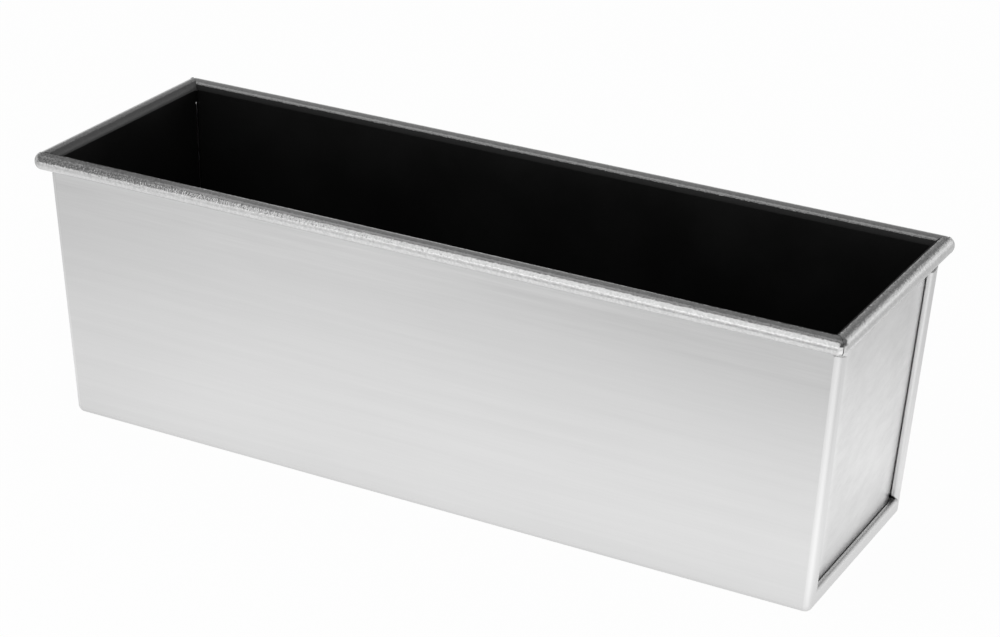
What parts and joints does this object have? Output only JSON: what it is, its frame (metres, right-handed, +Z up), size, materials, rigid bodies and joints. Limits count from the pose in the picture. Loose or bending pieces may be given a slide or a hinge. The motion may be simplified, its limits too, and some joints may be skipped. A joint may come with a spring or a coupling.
{
  "type": "long loaf pan",
  "caption": "Deep straight loaf pan folded from bright steel sheet, with locked end seams, a rolled wired rim and a black non-stick inside; open, with no cover.",
  "frame": {"origin": "centre of the flat underside", "axes": "+X along the length, +Y across the width towards the back wall, +Z up"},
  "size_m": [0.2986, 0.098, 0.1],
  "materials": {
    "bare_steel": "satin, aluminised sheet",
    "wire_steel": "drawn wire",
    "black_lining": "satin black non-stick coat"
  },
  "bodies": {
    "root": {"trough_sheet": "bare_steel", "right_end_panel": "bare_steel", "left_end_panel": "bare_steel", "rim_wire": "wire_steel", "trough_lining": "black_lining", "right_end_lining": "black_lining", "left_end_lining": "black_lining"}
  },
  "joints": []
}
